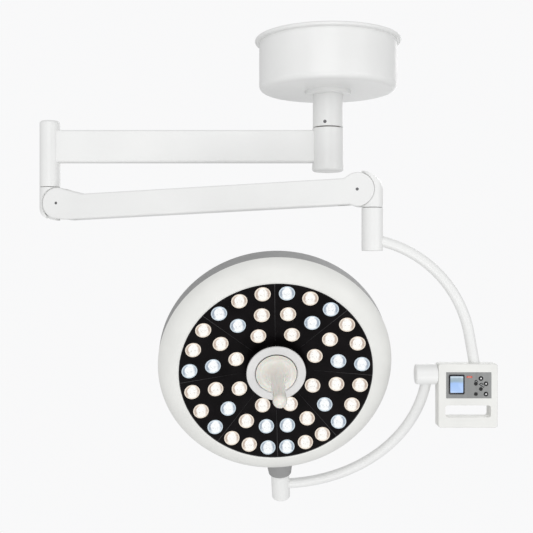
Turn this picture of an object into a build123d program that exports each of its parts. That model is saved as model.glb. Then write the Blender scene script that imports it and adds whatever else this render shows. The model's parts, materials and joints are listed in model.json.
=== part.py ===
"""Ceiling-mounted LED operating light with an extension arm, a balanced spring arm and a double yoke.

Millimetres. The origin is the centre of the ceiling face, on the drop tube's axis, with +Z up.
The operator stands on the -Y side and the arms lie along X.
Each function makes the pieces of one body; the export loop at the end writes one file for each piece.
"""
from build123d import *
from math import atan2, cos, degrees, hypot, radians, sin, tan
import os

# ---------------------------------------------------------------- driving dimensions
RUN = 0.06            # radial clearance of a shaft turning in a bush
GAP = 0.3             # clearance between bodies that move past each other

# ceiling fixing and drop tube
PLATE_R, PLATE_T = 120, 10
ANCHOR_COUNT, ANCHOR_PCD, ANCHOR_R = 6, 200, 6.5
FLANGE_R, FLANGE_T, FLANGE_PCD, FLANGE_BOLTS = 62, 10, 98, 6
BOLT_R, BOLT_HEAD_AF, BOLT_HEAD_T = 4.9, 16, 6.4
DROP_R, DROP_BORE_R, DROP_END = 35, 28, -204
THREAD_LAND = 2.5     # depth left blind above the flange bolts
STOP_SCREW_Z, STOP_SCREW_R, STOP_SCREW_ANGLE = -195, 4, 15
CANOPY_R, CANOPY_LIP_R, CANOPY_LIP_T = 160, 170, 8.5
CANOPY_H, CANOPY_WALL, CANOPY_CORNER = 120, 3, 13
COLLAR_R, COLLAR_T, COLLAR_SCREW_R = 53.5, 9, 2.5
MODULE_W, MODULE_L, MODULE_H, MODULE_X = 46, 96, 42, 93      # driver module, beside the drop tube
FOOT_W, FOOT_L, FOOT_T, FOOT_Y = 58, 12, 2, 34

# hub of the extension arm
HUB_R, HUB_BORE_R, HUB_TOP, HUB_BOTTOM = 36, 26, -207, -292
HUB_CAP_R, HUB_CAP_H, HUB_CAP_ROUND = 36.6, 15, 6
SPINDLE_R, SPINDLE_HEAD_H, SPINDLE_END, CABLE_R = 18, 44, -297, 7
HUB_NUT_AF, HUB_NUT_H = 44, 12
HUB_BUSH_H = 25

# extension arm
REACH = 648           # hub axis to elbow axis
BEAM_H, BEAM_W, BEAM_WALL, BEAM_TOP = 75, 30, 3, -211.4
BEAM_ROUND = 5
ELBOW_R, ELBOW_BORE_R = 23.5, 17
ELBOW_CAP_TOP, ELBOW_SEAM, ELBOW_BOTTOM = -189, -200, -343
ELBOW_SHAFT_R, ELBOW_SPIGOT_R = 12, 9.5
ELBOW_BUSH_H, ELBOW_CAP_ROUND, ELBOW_CAP_SPIGOT = 25, 7, 4
SHAFT_FOOT, SHAFT_HEAD_T = 8, 8

# spring arm
ARM_LENGTH = 700      # pivot to pivot
ARM_SWING = 15.7      # degrees towards the operator, seen from above
ARM_PITCH = 1.3       # degrees up
ARM_PIVOT_Z = -382
ARM_HALF_W, ARM_WALL = 23, 3
CHEEK_R, CHEEK_IN = 36, 12.7
FORK_DEPTH = 44.5
ARM_TOP = (18.2, 24.6)          # height of the upper edge above the pivots, at each end
ARM_BOTTOM = (-39, -30.8)
KNUCKLE_OFFSET = 28   # pivot to the vertical axis beside it
KNUCKLE_HALF_T = 12.4
KNUCKLE_NECK = 37.5   # pivot to the end of the neck
KNUCKLE_ROUND_R = 45
CHEEK_CLEAR = {-1: 1.6, 1: 0.8}      # recess round the cheeks, at the elbow and at the wrist
SHOULDER = 66         # where the arm's upper shoulder meets its straight edge
PIVOT_R, LINK_PIN_R, PIN_HALF = 9, 4, 19
LINK_DROP = 23        # link pins under the arm pivots
LINK_HALF_T, LINK_HALF_H, LINK_EYE_R = 3.5, 3.5, 8.5
LINK_SLOT_HALF, LINK_SLOT_TOP, LINK_SLOT_BACK = 4.6, -12.5, 10.5
PIVOT_BOSS_R, LINK_SLOT_SIDE = 12, 13
TAIL_X, TAIL_Z = 25, -29        # where the knuckle's rim stops, so the lowered arm clears it
SCREW_R, SCREW_SOCKET_R, SCREW_IN, SCREW_PROUD = 3.2, 1.6, 20.3, 0.3
SPRING_START, SPRING_END = 120, 480
SPRING_R, SPRING_WIRE_R, SPRING_PITCH, SPRING_Z = 10, 1.6, 9, 2.5
SEAT_T, GUIDE_R, GUIDE_START, GUIDE_END = 8, 5, 60, 560

# upper yoke, measured from the wrist axis and the height of the wrist pivot
WRIST_R, STUB_R, STUB_TOP, STUB_BOTTOM = 22.5, 22.5, -39, -129
WRIST_SHAFT_R, WRIST_BUSH_R, WRIST_BUSH_TOP = 7.5, 10, -6
YOKE_TUBE_R, YOKE_TUBE_BORE = 11.25, 8.75
UPPER_BEND_R, UPPER_BEND_X, UPPER_BEND_Z = 245, -37.4, -347
UPPER_BEND_FROM, UPPER_BEND_TO = 9, 80      # degrees from straight up
BOX_LEFT, BOX_TOP = 135.7, -364.5
BOX_W, BOX_H, BOX_T, BOX_WALL = 124, 134, 38, 2.5
BOX_CORNER, BOX_EDGE = 6, 2.5
SLOT_W, SLOT_H, SLOT_FROM_LEFT, SLOT_FROM_TOP, SLOT_CORNER = 95, 25, 14.5, 87, 5
CAVITY_H = 80
PANEL_W, PANEL_H, PANEL_T, PANEL_FROM_LEFT, PANEL_FROM_TOP = 94.5, 54.5, 1.8, 16, 17.7
LCD_W, LCD_H, LCD_T, LCD_FROM_LEFT, LCD_FROM_TOP = 31, 39, 6, 6.5, 6
BUTTON_R, BUTTON_TRAVEL, BUTTON_PROUD, BUTTON_LENGTH = 3.6, 1, 1.2, 8
BUTTONS = {           # place on the panel, from its left and top edges
    "button_up": (72.5, 13),
    "button_left": (62, 24),
    "button_right": (83, 24),
    "button_down": (72.5, 35),
    "button_mode": (62, 45.5),
    "button_power": (83, 45.5),
}

# tilt joint and lower yoke
TILT_DROP = 388.4     # wrist pivot to tilt axis
TILT_R, TILT_LENGTH, TILT_GAP, TILT_END_WALL = 21.3, 45, 0.7, 6
TILT_SHAFT_R, TILT_BUSH_R = 8, 12
LOWER_TUBE_FROM_BOX = 20.6    # lower tube's axis at the tilt joint, left of the control box
HEAD_TILT = 21        # degrees, panel facing down
HEAD_LEAN = 2.6       # degrees, lower end towards +X
HEAD_YAW = 3          # degrees, panel towards +X
HEAD_FROM_WRIST = -204.6      # head centre, from the wrist axis
HEAD_SETBACK = 50     # panel front to swivel axis
SWIVEL_DROP = 306     # tilt axis to where the lower tube meets the swivel stub
SWIVEL_R, SWIVEL_TOP, SWIVEL_BOTTOM = 20.6, -275.6, -342
SWIVEL_SHAFT_R, SWIVEL_SHAFT_END = 12, -322

# lamp head; depths are along the head's own Y, 0 at the swivel axis, negative towards the operator
HEAD_R, HEAD_WALL = 250, 3
BAND_FRONT, BAND_BACK = -17, 22
REAR_RIM, REAR_RIM_Y, REAR_BOSS, REAR_BOSS_Y, REAR_TOP_Y = 208, 54, 92, 66, 76
PANEL_R, HUB_RING_R, HUB_RING_BORE = 204.5, 62.8, 44.5
HUB_FACE, HUB_SEAT, HUB_BACK = -50.5, -46.5, -26
PANEL_LIP_R, PANEL_LIP_T = 57.6, 3           # upstand round the hub
PANEL_FRONT, DISH_ANGLE, PANEL_THICK = -48, 8, 3
FIRST_SEAM, NARROW, WIDE_COUNT = 268.5, 39.2, 6    # degrees; the two sectors beside the boss are narrow
SECTOR_SEAM = 0.5                            # degrees of seam between sectors
LED_RINGS = {182.5: 3, 134: 2, 88.3: 1}      # ring radius: lenses in each sector
COOL_FIRST, TOP_RIGHT = (0, 1, 2, 3), 3      # sectors whose first lens is cool; one has two
LENS_R, LENS_DOME, LENS_DEPTH = 16, 3.5, 5
BOARD_DEPTH, BOARD_T = 7, 1.6
SINK_DEPTH, SINK_T, SINK_FINS, SINK_FIN_T = 10, 4, 24, 3
FIN_IN, FIN_OUT, FIN_BACK = 80, 185, 4
BOSS_TOP_R, BOSS_END_R, BOSS_TOP, BOSS_END = 33, 25.5, -225, -275
CORE_R, CORE_END, CORE_BASE_R, CORE_FRONT, CORE_BACK = 8, -122, 43, -33, -28
SLEEVE_R, SLEEVE_END, SLEEVE_RIM_R, SLEEVE_RIM_Y = 10.6, -118, 22, -38
GRIP_BASE_R, GRIP_END_R, GRIP_BALL_Y, GRIP_DISH_R = 17, 13.9, -165, 43.5
GRIP_FLARE_R, GRIP_FLARE_Y, GRIP_RIM_Y = 29, -45, -51

# ---------------------------------------------------------------- places that follow from them
ELBOW_X = -REACH
SWING = radians(ARM_SWING)
PITCH = radians(ARM_PITCH)
PIVOT_L = Vector(ELBOW_X + KNUCKLE_OFFSET * cos(SWING), -KNUCKLE_OFFSET * sin(SWING), ARM_PIVOT_Z)
ARM_AXIS = Vector(cos(PITCH) * cos(SWING), -cos(PITCH) * sin(SWING), sin(PITCH))
PIVOT_R_AT = PIVOT_L + ARM_AXIS * ARM_LENGTH
WRIST_AT = PIVOT_R_AT + Vector(cos(SWING), -sin(SWING), 0) * KNUCKLE_OFFSET
TILT_Z = WRIST_AT.Z - TILT_DROP
BOX_X = WRIST_AT.X + BOX_LEFT
SWIVEL_AT = Vector(
    WRIST_AT.X + HEAD_FROM_WRIST,
    WRIST_AT.Y + HEAD_SETBACK * cos(radians(HEAD_TILT)),
    TILT_Z + HEAD_SETBACK * sin(radians(HEAD_TILT)),
)

ELBOW_FRAME = Pos(*PIVOT_L) * Rot(0, 0, -ARM_SWING)
ARM_FRAME = ELBOW_FRAME * Rot(0, -ARM_PITCH, 0)
LINK_FRAME = Pos(0, 0, -LINK_DROP) * ARM_FRAME
WRIST_FRAME = Pos(*PIVOT_R_AT) * Rot(0, 0, -ARM_SWING)
YOKE_FRAME = Pos(*WRIST_AT)
BOX_FRAME = Pos(BOX_X, WRIST_AT.Y, WRIST_AT.Z + BOX_TOP)       # left top edge, mid-thickness
SWIVEL_FRAME = Pos(*SWIVEL_AT) * Rot(HEAD_TILT, 0, 0) * Rot(0, -HEAD_LEAN, 0)
HEAD_FRAME = SWIVEL_FRAME * Rot(0, 0, HEAD_YAW)

UP = (Align.CENTER, Align.CENTER, Align.MIN)


# ---------------------------------------------------------------- helpers
def rod(radius, low, high, x=0, y=0):
    """An upright cylinder between two heights."""
    return Pos(x, y, low) * Cylinder(radius, high - low, align=UP)


def ring(radius, bore, low, high, x=0, y=0):
    """An upright tube between two heights."""
    return rod(radius, low, high, x, y) - rod(bore, low - 1, high + 1, x, y)


def rod_x(radius, start, end, y=0, z=0):
    """A cylinder lying along X."""
    return Pos(start, y, z) * Rot(0, 90, 0) * Cylinder(radius, end - start, align=UP)


def rod_y(radius, start, end, x=0, z=0):
    """A cylinder lying along Y."""
    return Pos(x, start, z) * Rot(-90, 0, 0) * Cylinder(radius, end - start, align=UP)


def block(x0, x1, y0, y1, z0, z1):
    """A box between two corners."""
    size = (x1 - x0, y1 - y0, z1 - z0)
    return Pos(x0, y0, z0) * Box(*size, align=(Align.MIN, Align.MIN, Align.MIN))


def hexagon(across_flats, low, high, x=0, y=0):
    """An upright hexagonal prism between two heights."""
    outline = RegularPolygon(across_flats / 2, 6, major_radius=False)
    return Pos(x, y, low) * extrude(outline, high - low)


def around(count, radius, start=0):
    """Points evenly spaced round a circle."""
    turns = [radians(start + 360 * i / count) for i in range(count)]
    return [(radius * cos(t), radius * sin(t)) for t in turns]


def turned(*edges):
    """A solid of revolution about Y, from closed outline edges drawn as (radius, y)."""
    return revolve(make_face(edges), Axis.Y)


def turned_points(*points):
    """A solid of revolution about Y, from straight outline points (radius, y)."""
    return revolve(make_face(Polyline(*points, close=True)), Axis.Y)


def pipe(path):
    """A yoke tube swept along a path."""
    section = Plane(path @ 0, z_dir=path % 0) * (Circle(YOKE_TUBE_R) - Circle(YOKE_TUBE_BORE))
    return sweep(section, path)


def solid_pipe(path):
    """The space that a yoke tube fills."""
    return sweep(Plane(path @ 0, z_dir=path % 0) * Circle(YOKE_TUBE_R), path)


def dish_y(radius):
    """Depth of the dished panel's front at a radius."""
    return PANEL_FRONT + (PANEL_R - radius) * tan(radians(DISH_ANGLE))


# ---------------------------------------------------------------- ceiling fixing
def ceiling_pieces():
    bolt_places = around(FLANGE_BOLTS, FLANGE_PCD / 2, 30)
    flange_low = -PLATE_T - FLANGE_T

    plate = rod(PLATE_R, -PLATE_T, 0)
    plate -= [rod(ANCHOR_R, -PLATE_T - 1, 1, x, y) for x, y in around(ANCHOR_COUNT, ANCHOR_PCD / 2)]
    plate -= [rod(BOLT_R + 0.1, -PLATE_T - 1, -THREAD_LAND, x, y) for x, y in bolt_places]

    tube = ring(DROP_R, DROP_BORE_R, DROP_END, flange_low)
    tube += ring(FLANGE_R, DROP_BORE_R, flange_low, -PLATE_T)
    tube -= [rod(BOLT_R + 0.4, flange_low - 1, -PLATE_T + 1, x, y) for x, y in bolt_places]
    screw_turn = Rot(0, 0, -STOP_SCREW_ANGLE)
    tube -= screw_turn * rod_y(STOP_SCREW_R + 0.05, -DROP_R - 1, -DROP_BORE_R + 1, z=STOP_SCREW_Z)

    bolts = [
        rod(BOLT_R, flange_low, -THREAD_LAND - 0.5, x, y)
        + hexagon(BOLT_HEAD_AF, flange_low - BOLT_HEAD_T, flange_low, x, y)
        for x, y in bolt_places
    ]

    stop_screw = rod_y(STOP_SCREW_R, -DROP_R + 0.4, -DROP_BORE_R, z=STOP_SCREW_Z)
    stop_screw -= rod_y(STOP_SCREW_R / 2, -DROP_R - 1, -DROP_R + 3, z=STOP_SCREW_Z)
    collar_z = -CANOPY_H - COLLAR_T / 2
    collar_screw = rod_y(COLLAR_SCREW_R, DROP_R + 0.5, COLLAR_R - 1, z=collar_z)

    spindle = rod(DROP_BORE_R - 0.05, DROP_END, DROP_END + SPINDLE_HEAD_H)
    spindle += rod(SPINDLE_R, SPINDLE_END, DROP_END)
    spindle -= rod(CABLE_R, SPINDLE_END - 1, DROP_END + SPINDLE_HEAD_H + 1)

    nut_low = SPINDLE_END + 1
    nut = hexagon(HUB_NUT_AF, nut_low, nut_low + HUB_NUT_H)
    nut -= rod(SPINDLE_R + 0.02, nut_low - 1, nut_low + HUB_NUT_H + 1)

    collar = ring(COLLAR_R, DROP_R + 0.2, -CANOPY_H - COLLAR_T, -CANOPY_H)
    collar = chamfer(collar.edges().filter_by(GeomType.CIRCLE).group_by(Axis.Z)[0], 1)
    collar -= rod_y(COLLAR_SCREW_R + 0.05, DROP_R - 1, COLLAR_R + 1, z=collar_z)

    hang = (Align.CENTER, Align.CENTER, Align.MAX)
    module = Box(MODULE_W, MODULE_L, MODULE_H, align=hang)
    module = fillet(module.edges().filter_by(Axis.Z), 3)
    module += [Pos(0, y) * Box(FOOT_W, FOOT_L, FOOT_T, align=hang) for y in (-FOOT_Y, FOOT_Y)]
    module = Pos(MODULE_X, 0, -PLATE_T) * module

    return {
        "ceiling_plate": plate,
        "drop_tube": tube,
        "flange_bolts": bolts,
        "canopy_cover": canopy_cover(),
        "canopy_collar": collar,
        "locking_screws": [screw_turn * stop_screw, collar_screw],
        "hub_spindle": spindle,
        "spindle_nut": nut,
        "driver_module": module,
    }


def canopy_cover():
    """A spun drum with a thick rolled lip at the ceiling and a hole for the drop tube."""
    wall_in = CANOPY_R - CANOPY_WALL
    floor_in = -CANOPY_H + CANOPY_WALL
    lip = CANOPY_LIP_T / 2
    outline = [
        Line((wall_in, 0), (CANOPY_LIP_R - lip, 0)),
        ThreePointArc((CANOPY_LIP_R - lip, 0), (CANOPY_LIP_R, -lip), (CANOPY_LIP_R - lip, -CANOPY_LIP_T)),
        Line((CANOPY_LIP_R - lip, -CANOPY_LIP_T), (CANOPY_R, -CANOPY_LIP_T)),
        Line((CANOPY_R, -CANOPY_LIP_T), (CANOPY_R, -CANOPY_H + CANOPY_CORNER)),
        RadiusArc(
            (CANOPY_R, -CANOPY_H + CANOPY_CORNER),
            (CANOPY_R - CANOPY_CORNER, -CANOPY_H),
            CANOPY_CORNER,
        ),
        Line((CANOPY_R - CANOPY_CORNER, -CANOPY_H), (DROP_R + 1, -CANOPY_H)),
        Line((DROP_R + 1, -CANOPY_H), (DROP_R + 1, floor_in)),
        Line((DROP_R + 1, floor_in), (CANOPY_R - CANOPY_CORNER, floor_in)),
        RadiusArc(
            (CANOPY_R - CANOPY_CORNER, floor_in),
            (wall_in, -CANOPY_H + CANOPY_CORNER),
            -(CANOPY_CORNER - CANOPY_WALL),
        ),
        Line((wall_in, -CANOPY_H + CANOPY_CORNER), (wall_in, 0)),
    ]
    return Rot(90, 0, 0) * turned(*outline)


# ---------------------------------------------------------------- extension arm
def extension_pieces():
    beam_low = BEAM_TOP - BEAM_H
    cap_top = HUB_BOTTOM
    cap_low = HUB_BOTTOM - HUB_CAP_H

    cap = rod(HUB_CAP_R, cap_low, cap_top)
    cap = fillet(cap.edges().group_by(Axis.Z)[0], HUB_CAP_ROUND)
    cap -= rod(HUB_BORE_R, SPINDLE_END - 3, cap_top + 1)

    bush = ring(HUB_BORE_R - 0.02, SPINDLE_R + RUN, 0, HUB_BUSH_H)
    lower_bush_low = SPINDLE_END + 1 + HUB_NUT_H + GAP

    beam = extruded_beam(BEAM_W, BEAM_H, BEAM_ROUND, beam_low)
    inner = extruded_beam(BEAM_W - 2 * BEAM_WALL, BEAM_H - 2 * BEAM_WALL, BEAM_WALL, beam_low + BEAM_WALL)
    beam = beam - inner
    beam -= rod(HUB_R, beam_low - 1, BEAM_TOP + 1)
    beam -= rod(ELBOW_R, beam_low - 1, BEAM_TOP + 1, ELBOW_X)

    elbow_cap = rod(ELBOW_R, ELBOW_SEAM, ELBOW_CAP_TOP, ELBOW_X)
    elbow_cap = fillet(elbow_cap.edges().group_by(Axis.Z)[-1], ELBOW_CAP_ROUND)
    elbow_cap += rod(ELBOW_BORE_R - 0.05, ELBOW_SEAM - ELBOW_CAP_SPIGOT, ELBOW_SEAM, ELBOW_X)

    elbow_bush = ring(ELBOW_BORE_R - 0.02, ELBOW_SHAFT_R + RUN, 0, ELBOW_BUSH_H, ELBOW_X)
    return {
        "hub_sleeve": ring(HUB_R, HUB_BORE_R, HUB_BOTTOM, HUB_TOP),
        "hub_end_cap": cap,
        "hub_bushes": [Pos(0, 0, HUB_TOP - HUB_BUSH_H) * bush, Pos(0, 0, lower_bush_low) * bush],
        "extension_beam": beam,
        "elbow_tube": ring(ELBOW_R, ELBOW_BORE_R, ELBOW_BOTTOM, ELBOW_SEAM, ELBOW_X),
        "elbow_cap": elbow_cap,
        "elbow_bushes": [
            Pos(0, 0, ELBOW_BOTTOM) * elbow_bush,
            Pos(0, 0, ELBOW_SEAM - 15 - ELBOW_BUSH_H) * elbow_bush,
        ],
    }


def extruded_beam(width, height, corner, low):
    """A rectangular bar with rounded edges from the elbow axis to the hub axis."""
    section = Plane.YZ * Pos(0, low + height / 2) * RectangleRounded(width, height, corner)
    return extrude(section, -REACH)


# ---------------------------------------------------------------- knuckles, spring arm and link
def knuckle(side, neck_radius):
    """The block between a vertical axis and a spring-arm pivot, in its own frame at the pivot.

    side is -1 for the elbow, whose neck points up, and +1 for the wrist, whose neck points down.
    """
    neck_x = side * KNUCKLE_OFFSET
    neck_low, neck_high = sorted((-side * KNUCKLE_NECK, side * (KNUCKLE_ROUND_R + 4)))
    body = rod(neck_radius, neck_low, neck_high, neck_x)
    body += rod_y(CHEEK_R, -KNUCKLE_HALF_T, KNUCKLE_HALF_T)

    turn_x, turn_z = side * 6, -side * 6
    limit = rod_y(KNUCKLE_ROUND_R, -60, 60, turn_x, turn_z)
    far = -side * 60
    z_low, z_high = sorted((turn_z, far))
    limit += block(-60, 60, -60, 60, z_low, z_high)
    body = body & limit

    for face in (-1, 1):
        y_low, y_high = sorted((face * (KNUCKLE_HALF_T + GAP), face * 60))
        body -= rod_y(CHEEK_R + CHEEK_CLEAR[side], y_low, y_high)
        if side < 0:
            body -= block(-TAIL_X, 60, y_low, y_high, -60, TAIL_Z)

    # slot for the parallel link, open towards the arm, leaving a round boss about the pivot
    slot = (-LINK_SLOT_HALF, LINK_SLOT_HALF)
    start, end = sorted((side * LINK_SLOT_BACK, -side * 60))
    body -= block(start, end, *slot, -60, LINK_SLOT_TOP)
    start, end = sorted((0, -side * 60))
    body -= block(start, end, *slot, LINK_SLOT_TOP, 0) - rod_y(PIVOT_BOSS_R, -60, 60)
    start, end = sorted((-side * LINK_SLOT_SIDE, -side * 60))
    body -= block(start, end, *slot, 0, 60)

    body -= rod_y(PIVOT_R + 0.02, -60, 60)
    body -= rod_y(LINK_PIN_R + 0.02, -60, 60, z=-LINK_DROP)
    return body


def knuckle_pins():
    """The pins that one knuckle carries: the arm pivot and the link pivot."""
    return [
        rod_y(PIVOT_R, -PIN_HALF, PIN_HALF),
        rod_y(LINK_PIN_R, -KNUCKLE_HALF_T, KNUCKLE_HALF_T, z=-LINK_DROP),
    ]


def elbow_pieces():
    step = KNUCKLE_NECK
    body = knuckle(-1, ELBOW_R)
    body -= rod(ELBOW_SPIGOT_R + 0.02, SHAFT_FOOT, step + 1, -KNUCKLE_OFFSET)
    shaft_top = ELBOW_SEAM - 6 - ARM_PIVOT_Z
    collar_low = shaft_top - SHAFT_HEAD_T
    shaft = rod(ELBOW_SPIGOT_R, SHAFT_FOOT, step, -KNUCKLE_OFFSET)
    shaft += rod(ELBOW_SHAFT_R, step, collar_low, -KNUCKLE_OFFSET)
    shaft += rod(ELBOW_BORE_R - 2, collar_low, shaft_top, -KNUCKLE_OFFSET)
    return {
        "elbow_knuckle": ELBOW_FRAME * body,
        "elbow_shaft": ELBOW_FRAME * shaft,
        "elbow_pins": [ELBOW_FRAME * pin for pin in knuckle_pins()],
    }


def wrist_pieces():
    body = knuckle(1, WRIST_R)
    body -= rod(WRIST_BUSH_R, -KNUCKLE_NECK - 1, WRIST_BUSH_TOP + 3, KNUCKLE_OFFSET)
    bush = ring(WRIST_BUSH_R - 0.02, WRIST_SHAFT_R + RUN, -KNUCKLE_NECK, WRIST_BUSH_TOP, KNUCKLE_OFFSET)
    return {
        "wrist_knuckle": WRIST_FRAME * body,
        "wrist_pins": [WRIST_FRAME * pin for pin in knuckle_pins()],
        "wrist_bush": WRIST_FRAME * bush,
    }


def arm_outline():
    """Side view of the spring arm: a bar that tapers a little, with a round cheek at each pivot."""
    bar = make_face(
        Polyline(
            (0, CHEEK_R),
            (SHOULDER, ARM_TOP[0] + 0.6),
            (ARM_LENGTH, ARM_TOP[1]),
            (ARM_LENGTH, ARM_BOTTOM[1]),
            (25, ARM_BOTTOM[0]),
            (0, -CHEEK_R),
            close=True,
        )
    )
    side = bar + Circle(CHEEK_R) + Pos(ARM_LENGTH, 0) * Circle(CHEEK_R)
    inward = [v for v in side.vertices() if 20 < v.X < ARM_LENGTH - 20 and abs(v.Y) < CHEEK_R]
    inward = [v for v in inward if v.Y > 0 or v.X > ARM_LENGTH / 2]
    return fillet(inward, 18)


def spring_arm_pieces():
    ends = (0, ARM_LENGTH)
    arm = extrude(Plane.XZ * arm_outline(), ARM_HALF_W, both=True)
    arm = fillet(arm.edges().group_by(Axis.Y)[0] + arm.edges().group_by(Axis.Y)[-1], 4)

    x0, x1 = FORK_DEPTH, ARM_LENGTH - FORK_DEPTH
    cavity = make_face(
        Polyline(
            (x0, ARM_TOP[0] - ARM_WALL),
            (x1, ARM_TOP[1] - ARM_WALL),
            (x1, ARM_BOTTOM[1] + ARM_WALL),
            (x0, ARM_BOTTOM[0] + ARM_WALL + 1),
            close=True,
        )
    )
    arm -= extrude(Plane.XZ * cavity, ARM_HALF_W - ARM_WALL, both=True)
    arm -= block(-CHEEK_R - 5, FORK_DEPTH, -CHEEK_IN, CHEEK_IN, -60, 60)
    arm -= block(x1, ARM_LENGTH + CHEEK_R + 5, -CHEEK_IN, CHEEK_IN, -60, 60)

    screw_out = ARM_HALF_W + SCREW_PROUD
    screws = []
    for x in ends:
        arm -= rod_y(PIVOT_R + RUN, -PIN_HALF - 0.5, PIN_HALF + 0.5, x)
        arm -= rod_y(SCREW_R + 0.1, -30, 30, x) - rod_y(SCREW_R + 1, -SCREW_IN, SCREW_IN, x)
        for face in (-1, 1):
            y_low, y_high = sorted((face * SCREW_IN, face * screw_out))
            socket_low, socket_high = sorted((face * (screw_out - 2), face * (screw_out + 1)))
            socket = rod_y(SCREW_SOCKET_R, socket_low, socket_high, x)
            screws.append(rod_y(SCREW_R, y_low, y_high, x) - socket)

    half = block(-100, ARM_LENGTH + 100, -60, 0, -100, 100)
    coil = Helix(SPRING_PITCH, SPRING_END - SPRING_START, SPRING_R)
    coil = sweep(Plane(coil @ 0, z_dir=coil % 0) * Circle(SPRING_WIRE_R), coil, is_frenet=True)
    spring = Pos(SPRING_START, 0, SPRING_Z) * Rot(0, 90, 0) * coil
    seat_r = SPRING_R + SPRING_WIRE_R + 0.6
    seat_gap = SPRING_WIRE_R + 0.2
    seats = [
        rod_x(seat_r, SPRING_START - seat_gap - SEAT_T, SPRING_START - seat_gap, z=SPRING_Z),
        rod_x(seat_r, SPRING_END + seat_gap, SPRING_END + seat_gap + SEAT_T, z=SPRING_Z),
    ]
    seats = [seat - rod_x(GUIDE_R + 0.05, 0, ARM_LENGTH, z=SPRING_Z) for seat in seats]
    pieces = {
        "arm_shell_front": arm & half,
        "arm_shell_rear": arm - half,
        "pivot_screws": screws,
        "balance_spring": spring,
        "spring_guide_rod": rod_x(GUIDE_R, GUIDE_START, GUIDE_END, z=SPRING_Z),
        "spring_seats": seats,
    }
    return {name: placed(ARM_FRAME, piece) for name, piece in pieces.items()}


def link_pieces():
    link = block(0, ARM_LENGTH, -LINK_HALF_T, LINK_HALF_T, -LINK_HALF_H, LINK_HALF_H)
    for x in (0, ARM_LENGTH):
        link += rod_y(LINK_EYE_R, -LINK_HALF_T, LINK_HALF_T, x)
    link -= rod_y(LINK_PIN_R + RUN, -10, 10)
    link -= rod_y(LINK_PIN_R + 0.7, -10, 10, ARM_LENGTH)
    return {"parallel_link": LINK_FRAME * link}


# ---------------------------------------------------------------- upper yoke and control box
def upper_yoke_path():
    """Centre line of the upper tube: a bend out of the stub and a straight end into the box."""
    centre = (UPPER_BEND_X, UPPER_BEND_Z)
    bend = CenterArc(centre, UPPER_BEND_R, 90 - UPPER_BEND_FROM, UPPER_BEND_FROM - UPPER_BEND_TO)
    end, along = bend @ 1, bend % 1
    socket = 10
    run = (end.Y - BOX_TOP) / -along.Y + socket
    return Plane.XZ * Wire([bend, Line(end, end + along * run)])


def box_place(from_left, from_top):
    """X and Z in the box frame of a point on the display panel."""
    return PANEL_FROM_LEFT + from_left, -PANEL_FROM_TOP - from_top


def control_box_shells():
    """Front and rear halves of the control box, with the handle slot through both."""
    y_front = -BOX_T / 2
    outline = Pos(BOX_W / 2, -BOX_H / 2) * RectangleRounded(BOX_W, BOX_H, BOX_CORNER)
    outer = extrude(Plane.XZ * outline, BOX_T / 2, both=True)
    outer = fillet(outer.edges().group_by(Axis.Y)[0] + outer.edges().group_by(Axis.Y)[-1], BOX_EDGE)

    slot_x = SLOT_FROM_LEFT + SLOT_W / 2
    slot_z = -SLOT_FROM_TOP - SLOT_H / 2
    slot = Pos(slot_x, slot_z) * RectangleRounded(SLOT_W, SLOT_H, SLOT_CORNER)
    outer -= extrude(Plane.XZ * slot, BOX_T, both=True)

    half_in = BOX_T / 2 - BOX_WALL
    outer -= block(BOX_WALL, BOX_W - BOX_WALL, -half_in, half_in, -CAVITY_H, -BOX_WALL)

    x0, z1 = box_place(0, 0)
    x1, z0 = box_place(PANEL_W, PANEL_H)
    outer -= block(x0, x1, y_front - 1, y_front + PANEL_T, z0, z1)
    outer -= block(x0 + 3, x1 - 3, y_front - 1, 0, z0 + 3, z1 - 3)

    tube = Pos(WRIST_AT.X - BOX_X, 0, -BOX_TOP) * solid_pipe(upper_yoke_path())
    outer -= tube
    outer -= rod_x(TILT_SHAFT_R + 0.02, -1, 10, z=-TILT_DROP - BOX_TOP)
    front = block(-10, BOX_W + 10, y_front - 10, 0, -BOX_H - 10, 10)
    return outer & front, outer - front


def display_pieces():
    """Membrane panel, display module and switch board behind it, in the box frame."""
    y_front = -BOX_T / 2
    x0, z1 = box_place(0, 0)
    x1, z0 = box_place(PANEL_W, PANEL_H)
    edge = 0.15
    panel = block(x0 + edge, x1 - edge, y_front, y_front + PANEL_T, z0 + edge, z1 - edge)
    lcd_x, lcd_z = box_place(LCD_FROM_LEFT, LCD_FROM_TOP)
    panel -= block(lcd_x, lcd_x + LCD_W, y_front - 1, y_front + 5, lcd_z - LCD_H, lcd_z)
    for from_left, from_top in BUTTONS.values():
        x, z = box_place(from_left, from_top)
        panel -= rod_y(BUTTON_R + GAP, y_front - 1, y_front + 5, x, z)

    lcd = block(
        lcd_x + edge,
        lcd_x + LCD_W - edge,
        y_front - 0.2,
        y_front + LCD_T,
        lcd_z - LCD_H + edge,
        lcd_z - edge,
    )
    board_y = y_front - BUTTON_PROUD + BUTTON_LENGTH + BUTTON_TRAVEL + GAP
    board = block(x0 + 4, x1 - 4, board_y, board_y + 1.6, z0 + 4, z1 - 4)
    return {"display_panel": panel, "display_module": lcd, "switch_board": board}


def button(from_left, from_top):
    """A round key with a rounded top and a collar behind the panel."""
    x, z = box_place(from_left, from_top)
    y_out = -BOX_T / 2 - BUTTON_PROUD
    key = rod_y(BUTTON_R, y_out, y_out + BUTTON_LENGTH, x, z)
    key = fillet(key.edges().group_by(Axis.Y)[0], 0.6)
    collar_y = -BOX_T / 2 + PANEL_T + GAP
    return key + rod_y(BUTTON_R + 0.9, collar_y, collar_y + 1.2, x, z)


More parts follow.
